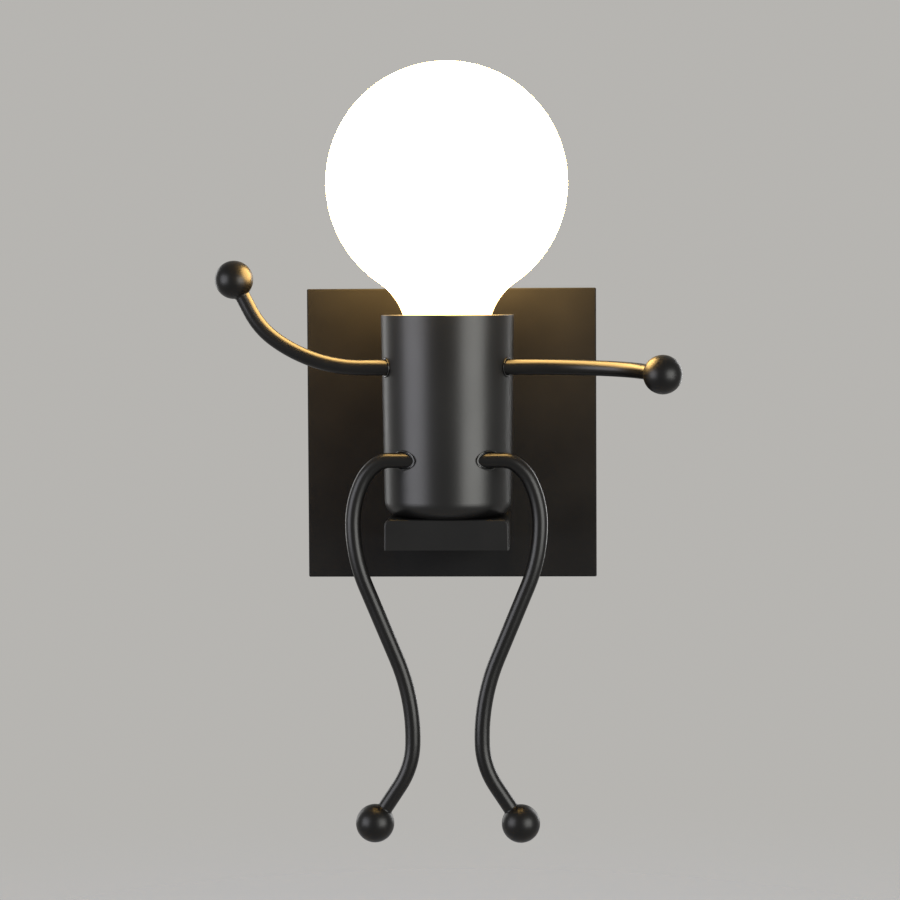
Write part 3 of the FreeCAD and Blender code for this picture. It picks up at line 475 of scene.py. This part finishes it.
finish_nodes(moulded_rubber("grommet_rubber"), "lead_grommet")


# Nipple and nuts
# A hollow steel tube with a 1 mm thread. A nut and washer below the seat and a nut and toothed
# washer inside the cup pull the cup and the seat together, and the lampholder screws on top.

AXIS_Y = -0.060
ROWS_PER_TURN = 10
RUN_OUT_TURNS = 0.8


def threaded_sleeve(z_bottom, z_top, r_crest, r_root, pitch, thickness, start, end, steps):
    """A sleeve whose wall carries a rolled thread between start and end, faded at both ends."""
    rows = max(2, round((z_top - z_bottom) / (pitch / ROWS_PER_TURN)))
    middle = (r_crest + r_root) / 2
    swing = (r_crest - r_root) / 2
    run_out = pitch * RUN_OUT_TURNS
    outside = []
    inside = []
    for row in range(rows + 1):
        z = z_bottom + (z_top - z_bottom) * row / rows
        fade = min(max((z - start) / run_out, 0), 1) * min(max((end - z) / run_out, 0), 1)
        for step in range(steps):
            turn = 2 * math.pi * step / steps
            wave = math.cos(2 * math.pi * (z - z_bottom) / pitch - turn)
            radius = r_crest * (1 - fade) + (middle + swing * wave) * fade
            outside.append(Vector((radius * math.cos(turn), AXIS_Y + radius * math.sin(turn), z)))
            inner = radius - thickness
            inside.append(Vector((inner * math.cos(turn), AXIS_Y + inner * math.sin(turn), z)))
    faces = []
    shift = len(outside)
    for row in range(rows):
        for step in range(steps):
            after = (step + 1) % steps
            low = row * steps
            high = low + steps
            faces.append((low + step, low + after, high + after, high + step))
            faces.append((shift + low + after, shift + low + step,
                          shift + high + step, shift + high + after))
    for row in (0, rows * steps):
        for step in range(steps):
            after = (step + 1) % steps
            faces.append((row + step, row + after, shift + row + after, shift + row + step))
    return outside + inside, faces


nipple_low, nipple_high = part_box("nipple")
NIPPLE_CHAMFER = 0.0003
nipple_sleeve = threaded_sleeve(nipple_low.z, nipple_high.z, r_crest=0.0050, r_root=0.00465,
                                pitch=0.001, thickness=0.0010,
                                start=nipple_low.z + NIPPLE_CHAMFER,
                                end=nipple_high.z - NIPPLE_CHAMFER, steps=40)
nipple = new_piece("threaded_nipple", *nipple_sleeve, zinc, "light", "zinc_steel")
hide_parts("nipple")
finish_nodes(zinc, "lower_washer", "lower_nut", "lock_washer", "upper_nut")


# Cup
# The robot's body, spun from sheet steel: a slightly tapered cup with a rounded foot and rim,
# coated satin black. A bead of coat stands round each hole that a limb passes.

cup_paint = powder_coat("cup_paint", tone=0.0022, roughness=0.37, shine=0.33,
                        grain=900, depth=0.000010)
finish_nodes(cup_paint, "cup")
RIM_Z = 0.0485
RIM_R = 0.02625
CUP_HEIGHT = 0.0795
CUP_TAPER = 0.00105
# how far each limb's hole is in front of the cup's axis, and its height
LIMB_ROOTS = [(0.010, 0.028), (0.019, -0.0079)]
BEAD_CENTRE_R = 0.00354
BEAD_R = 0.00046


def cup_radius(z):
    return RIM_R - CUP_TAPER * (RIM_Z - z) / CUP_HEIGHT


def bead_round_hole(side, forward, height):
    """A thin bead that follows the cup's curve round one limb hole."""
    verts = []
    around = 72
    section = 10
    for step in range(around):
        turn = 2 * math.pi * step / around
        out_way = Vector((0, math.cos(turn), math.sin(turn)))
        across = -forward + BEAD_CENTRE_R * out_way.y
        z = height + BEAD_CENTRE_R * out_way.z
        radius = cup_radius(z)
        x = math.sqrt(radius ** 2 - across ** 2)
        skin = Vector((x / radius, across / radius, 0))
        centre = Vector((x, AXIS_Y + across, z))
        for point in range(section):
            lean = 2 * math.pi * point / section
            spot = centre + out_way * (BEAD_R * math.cos(lean)) + skin * (BEAD_R * math.sin(lean))
            verts.append(Vector((spot.x * side, spot.y, spot.z)))
    return verts, skin_over_rings(around, section, closed=True)


beads = []
for side in (-1, 1):
    for forward, height in LIMB_ROOTS:
        beads.append(bead_round_hole(side, forward, height))
bead_paint = powder_coat("bead_paint", tone=0.0022, roughness=0.24, shine=0.55,
                         grain=900, depth=0.000004)
new_piece("limb_hole_beads", *merged(beads), bead_paint, "light", "black_paint")


# Lampholder
# A screw-cap lampholder: a glossy black moulded skirt and cap, a white steatite core and a
# pressed brass shell with a rolled 27 mm thread, screwed on the nipple.

def glossy_moulding(name, tone, roughness):
    """Black thermoset plastic: high gloss with a faint flow pattern."""
    plastic, shader, place = new_finish(name)
    flow = cloud_over(plastic, place, scale=60, distortion=1.6)
    drifting_colour(plastic, shader, flow, (tone * 0.7, tone * 0.7, tone * 0.7),
                    (tone * 1.4, tone * 1.35, tone * 1.3))
    drifting_gloss(plastic, shader, flow, roughness, roughness + 0.10)
    return plastic


def steatite(name):
    """Unglazed white steatite with fine dark specks."""
    stone, shader, place = new_finish(name)
    shader.inputs["Roughness"].default_value = 0.6
    specks = cloud_over(stone, place, scale=1800)
    drifting_colour(stone, shader, specks, (0.52, 0.49, 0.43), (0.82, 0.80, 0.74),
                    low_at=0.22, high_at=0.36)
    fine_relief(stone, shader, specks, depth=0.00001)
    return stone


holder_black = glossy_moulding("holder_moulding", tone=0.016, roughness=0.16)
finish_nodes(holder_black, "holder_skirt", "holder_cap")
finish_nodes(steatite("core_steatite"), "holder_core")
finish_nodes(brass, "centre_contact", "holder_terminals", "holder_terminal_screws")

SKIRT_R = 0.018
RIB_COUNT = 40
RIB_LOW_Z = 0.0075
RIB_HIGH_Z = 0.0325
RIB_RAMP = 0.0008
RIB_HEIGHT = 0.00035
RIB_ROOT_HALF = 0.00055
RIB_TOP_HALF = 0.0003
RIB_SINK = -0.0001
RIB_ROWS = 4
RIB_POINTS = 4
ribs = []
for number in range(RIB_COUNT):
    turn = 2 * math.pi * number / RIB_COUNT
    out_way = Vector((math.cos(turn), math.sin(turn), 0))
    along = Vector((-math.sin(turn), math.cos(turn), 0))
    rib_verts = []
    for z, height in ((RIB_LOW_Z, 0.0), (RIB_LOW_Z + RIB_RAMP, RIB_HEIGHT),
                      (RIB_HIGH_Z - RIB_RAMP, RIB_HEIGHT), (RIB_HIGH_Z, 0.0)):
        for across, lift in ((-RIB_ROOT_HALF, RIB_SINK), (-RIB_TOP_HALF, height),
                             (RIB_TOP_HALF, height), (RIB_ROOT_HALF, RIB_SINK)):
            rib_verts.append(Vector((0, AXIS_Y, z)) + out_way * (SKIRT_R + lift) + along * across)
    rib_faces = []
    for row in range(RIB_ROWS - 1):
        for point in range(RIB_POINTS - 1):
            corner = row * RIB_POINTS + point
            beyond = corner + RIB_POINTS
            rib_faces.append((corner, corner + 1, beyond + 1, beyond))
    # the hidden underside, then the two ends
    rib_faces.append((0, 4, 8, 12, 15, 11, 7, 3))
    rib_faces.append((0, 3, 2, 1))
    rib_faces.append((12, 13, 14, 15))
    ribs.append((rib_verts, rib_faces))
new_piece("holder_ribs", *merged(ribs), holder_black, "light", "holder_plastic")

LAMP_THREAD_PITCH = 0.00363
LAMP_THREAD_SHEET = 0.00035
SHELL_LIFT = 0.0004
SHELL_PLAIN_FOOT = 0.003
SHELL_PLAIN_TOP = 0.001
shell_low, shell_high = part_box("screw_shell")
shell_sleeve = threaded_sleeve(shell_low.z + SHELL_LIFT, shell_high.z,
                               r_crest=0.01395, r_root=0.01355,
                               pitch=LAMP_THREAD_PITCH, thickness=LAMP_THREAD_SHEET,
                               start=shell_low.z + SHELL_PLAIN_FOOT,
                               end=shell_high.z - SHELL_PLAIN_TOP, steps=96)
shell = new_piece("threaded_shell", *shell_sleeve, brass, "light", "brass")
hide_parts("screw_shell")


# Bulb
# A 95 mm globe of white opal glass on a screw cap of rolled metal, with a black glass ring and
# a soldered tip below. Inside, a clear stem carries six glowing filament strips.

GLOW = (1.0, 0.60, 0.18, 1)
NECK_GLOW = (0.14, 0.08, 0.029, 1)
NECK_FOOT_GLOW = (0.036, 0.021, 0.006, 1)
GLOW_STRENGTH = 42.0
NECK_Z = 0.040


def lit_opal(name, top_z, neck_z):
    """Opal glass lit from inside: evenly bright, warmer and dimmer down in the neck."""
    glass, shader, place = new_finish(name)
    shader.inputs["Roughness"].default_value = 0.12
    shader.inputs["Base Color"].default_value = (0.92, 0.90, 0.86, 1)
    parts = add_node(glass, "ShaderNodeSeparateXYZ")
    joined(glass, place, parts.inputs["Vector"])
    height = add_node(glass, "ShaderNodeMapRange")
    height.inputs["From Min"].default_value = neck_z
    height.inputs["From Max"].default_value = top_z
    joined(glass, parts.outputs["Z"], height.inputs["Value"])
    drift = add_node(glass, "ShaderNodeMapRange")
    drift.inputs["To Min"].default_value = -0.02
    drift.inputs["To Max"].default_value = 0.02
    joined(glass, cloud_over(glass, place, scale=30), drift.inputs["Value"])
    level = add_node(glass, "ShaderNodeMath", operation="ADD")
    joined(glass, height.outputs["Result"], level.inputs[0])
    joined(glass, drift.outputs["Result"], level.inputs[1])
    glow = add_node(glass, "ShaderNodeValToRGB")
    stops = glow.color_ramp.elements
    stops[0].color = NECK_FOOT_GLOW
    stops[1].color = GLOW
    stops.new(0.12).color = NECK_GLOW
    stops.new(0.25).color = GLOW
    joined(glass, level.outputs[0], glow.inputs["Fac"])
    joined(glass, glow.outputs["Color"], shader.inputs["Emission Color"])
    shader.inputs["Emission Strength"].default_value = GLOW_STRENGTH
    return glass


GLOBE_TOP_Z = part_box("bulb_glass")[1].z
finish_nodes(lit_opal("opal_glass", GLOBE_TOP_Z, NECK_Z), "bulb_glass")


def rolled_cap_metal(name):
    """Bright cap metal, rolled into its thread, with fine drawing lines round it."""
    metal, shader, place = new_finish(name)
    shader.inputs["Metallic"].default_value = 1.0
    lines = drawn_lines(metal, place, stretch=(40, 40, 1800))
    drifting_colour(metal, shader, lines, (0.60, 0.59, 0.57), (0.80, 0.80, 0.79))
    drifting_gloss(metal, shader, lines, 0.18, 0.34)
    return metal


cap_metal = rolled_cap_metal("bulb_cap_metal")
CAP_CREST_R = 0.01305
CAP_ROOT_R = 0.01225
CAP_PLAIN_FOOT = 0.0012
CAP_PLAIN_TOP = 0.0045
CONE_HEIGHT = 0.0015
CONE_AROUND = 96
# radius and height above the cap's foot of the cone that holds the black glass ring
CONE_PROFILE = ((0.01265, CONE_HEIGHT), (0.0090, 0.0), (0.0090, 0.00035), (CAP_ROOT_R, 0.0017))
cap_low, cap_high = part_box("bulb_cap")
cap_sleeve = threaded_sleeve(cap_low.z + CONE_HEIGHT, cap_high.z, r_crest=CAP_CREST_R,
                             r_root=CAP_ROOT_R, pitch=LAMP_THREAD_PITCH,
                             thickness=LAMP_THREAD_SHEET, start=cap_low.z + CAP_PLAIN_FOOT,
                             end=cap_high.z - CAP_PLAIN_TOP, steps=96)
cone_verts = []
for radius, rise in CONE_PROFILE:
    for step in range(CONE_AROUND):
        turn = 2 * math.pi * step / CONE_AROUND
        cone_verts.append(Vector((radius * math.cos(turn), AXIS_Y + radius * math.sin(turn),
                                  cap_low.z + rise)))
cone = (cone_verts, skin_over_rings(len(CONE_PROFILE), CONE_AROUND, closed=True))
bulb_cap = new_piece("rolled_bulb_cap", *merged([cap_sleeve, cone]), cap_metal, "bulb",
                     "bulb_cap_metal")
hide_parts("bulb_cap")
finish_nodes(glossy_moulding("cap_glass_ring", tone=0.012, roughness=0.10), "bulb_insulator")
finish_nodes(bright_zinc("soft_solder", tone=0.70, roughness=0.38), "bulb_contact")
finish_nodes(bright_zinc("support_wire", tone=0.66, roughness=0.26), "filament_wires")


def clear_glass(name):
    """Clear drawn glass, with the slow waviness of a pulled stem."""
    glass, shader, place = new_finish(name)
    shader.inputs["Base Color"].default_value = (0.95, 0.98, 0.97, 1)
    shader.inputs["Transmission Weight"].default_value = 1.0
    shader.inputs["IOR"].default_value = 1.5
    waves = cloud_over(glass, place, scale=90)
    drifting_gloss(glass, shader, waves, 0.01, 0.06)
    fine_relief(glass, shader, waves, depth=0.00003)
    return glass


def glowing_phosphor(name):
    """Yellow phosphor coat with a fine grain, glowing warm white."""
    coat, shader, place = new_finish(name)
    shader.inputs["Roughness"].default_value = 0.55
    shader.inputs["Emission Strength"].default_value = 3.0
    grain = cloud_over(coat, place, scale=2200)
    colour = drifting_colour(coat, shader, grain, (0.80, 0.52, 0.10), (0.95, 0.72, 0.25))
    joined(coat, colour, shader.inputs["Emission Color"])
    return coat


finish_nodes(clear_glass("stem_glass"), "bulb_stem")
finish_nodes(glowing_phosphor("filament_phosphor"), "led_filaments")


# Limbs
# Each arm and leg is one 6 mm steel rod, bent cold and coated satin black. Its turned-down end
# sits in a bush inside the cup, and a bored steel ball is pressed on the tip.

rod_paint = powder_coat("rod_paint", tone=0.0020, roughness=0.33, shine=0.24,
                        grain=700, depth=0.000008)
ball_paint = powder_coat("ball_paint", tone=0.0020, roughness=0.37, shine=0.22,
                         grain=600, depth=0.000007)
for side in ("left", "right"):
    finish_nodes(rod_paint, side + "_arm_rod", side + "_leg_rod")
    finish_nodes(ball_paint, side + "_hand", side + "_foot")
    finish_nodes(zinc, side + "_arm_clip", side + "_leg_clip", side + "_shoulder_bush",
                 side + "_hip_bush")
finish_nodes(zinc, "limb_washers")

BALL_R = 0.0075
ROD_R = 0.0030
FILLET_R = 0.0008
FILLET_STEPS = 8
FILLET_AROUND = 40
UNDER_COAT_R = ROD_R * 0.93
ARM_TIP_RISE = math.radians(62.5)
LEG_TIP_DROP = math.radians(56.5)
RIGHT_ARM_TURN = math.radians(93.7)


def ball_fillet(centre, heading):
    """The small hollow fillet of coat where a rod enters its ball."""
    heading = heading.normalized()
    side = heading.orthogonal().normalized()
    up = heading.cross(side)
    reach = math.sqrt((BALL_R + FILLET_R) ** 2 - (ROD_R + FILLET_R) ** 2)
    ball_side = math.atan2(reach, ROD_R + FILLET_R)
    profile = []
    for step in range(FILLET_STEPS + 1):
        lean = ball_side * step / FILLET_STEPS
        profile.append((ROD_R + FILLET_R * (1 - math.cos(lean)), reach - FILLET_R * math.sin(lean)))
    profile.append((UNDER_COAT_R, reach - FILLET_R))
    profile.append((UNDER_COAT_R, reach))
    verts = []
    for radius, back in profile:
        for step in range(FILLET_AROUND):
            turn = 2 * math.pi * step / FILLET_AROUND
            out_way = side * math.cos(turn) + up * math.sin(turn)
            verts.append(centre - heading * back + out_way * radius)
    return verts, skin_over_rings(len(profile), FILLET_AROUND, closed=True)


for side, sign in (("left", -1), ("right", 1)):
    hand_way = Vector((sign * math.cos(ARM_TIP_RISE), 0, math.sin(ARM_TIP_RISE)))
    if side == "right":
        hand_way.rotate(Matrix.Rotation(RIGHT_ARM_TURN, 3, "X"))
    foot_way = Vector((sign * math.cos(LEG_TIP_DROP), 0, -math.sin(LEG_TIP_DROP)))
    for ball, body, heading in (("_hand", "_arm", hand_way), ("_foot", "_leg", foot_way)):
        low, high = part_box(side + ball)
        new_piece(side + ball + "_fillet", *ball_fillet((low + high) / 2, heading), ball_paint,
                  side + body, "black_paint")
